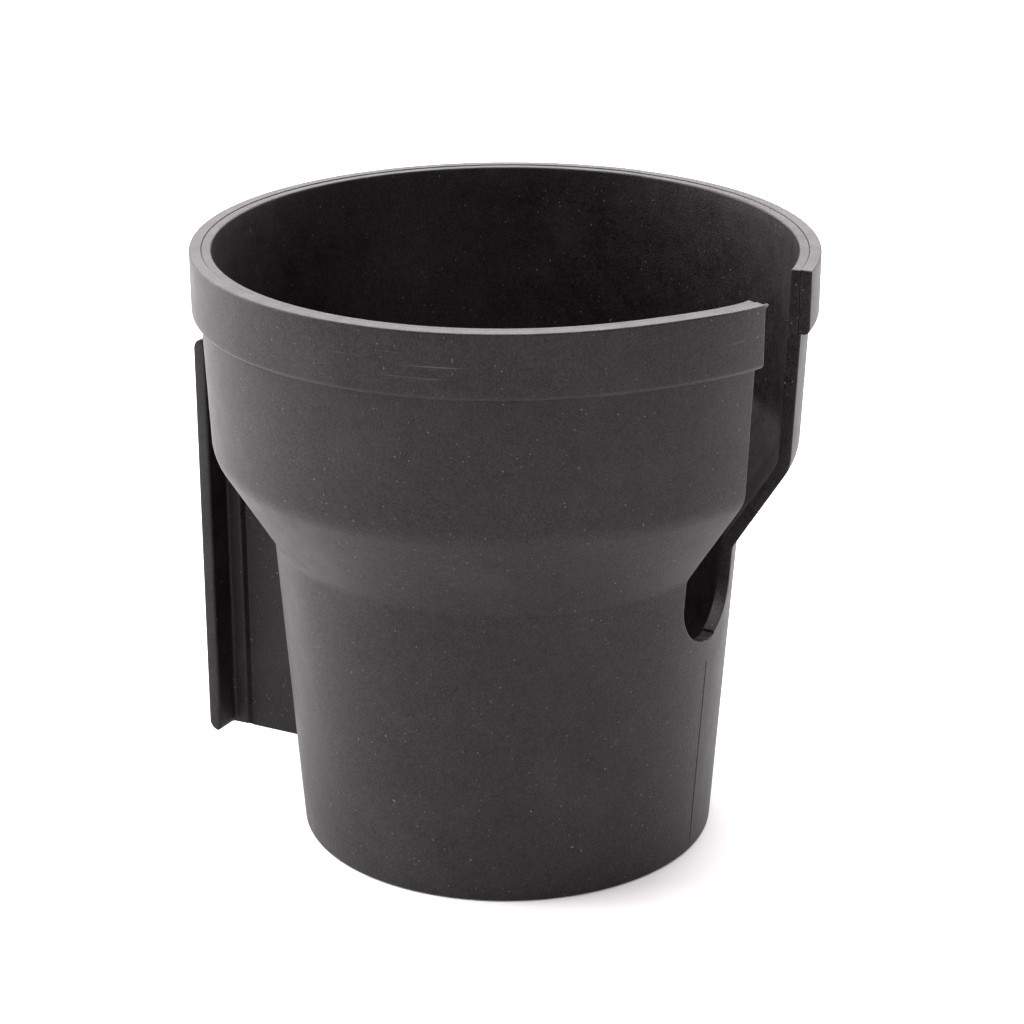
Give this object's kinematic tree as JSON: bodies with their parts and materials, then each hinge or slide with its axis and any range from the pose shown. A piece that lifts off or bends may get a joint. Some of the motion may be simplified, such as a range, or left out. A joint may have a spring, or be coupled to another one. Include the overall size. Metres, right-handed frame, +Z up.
{
  "type": "slide-in cup holder",
  "caption": "Stepped round cup holder with a rim collar, an open handle slot and a T-section slide tongue on its back.",
  "frame": {"origin": "centre of the cup's base, on the cup's axis, in the plane that it stands on", "axes": "+Z up along the cup's axis, +Y towards the slide tongue, -Y towards the handle slot, X across"},
  "size_m": [0.1, 0.1059, 0.1],
  "materials": {
    "cup_plastic": "fine-grained matte",
    "collar_plastic": "fine-grained matte",
    "bracket_plastic": "fine-grained matte",
    "screw_steel": "zinc plated"
  },
  "bodies": {
    "root": {"cup_body": "cup_plastic", "rim_collar": "collar_plastic", "slide_bracket": "bracket_plastic", "bracket_screws": "screw_steel"}
  },
  "joints": []
}
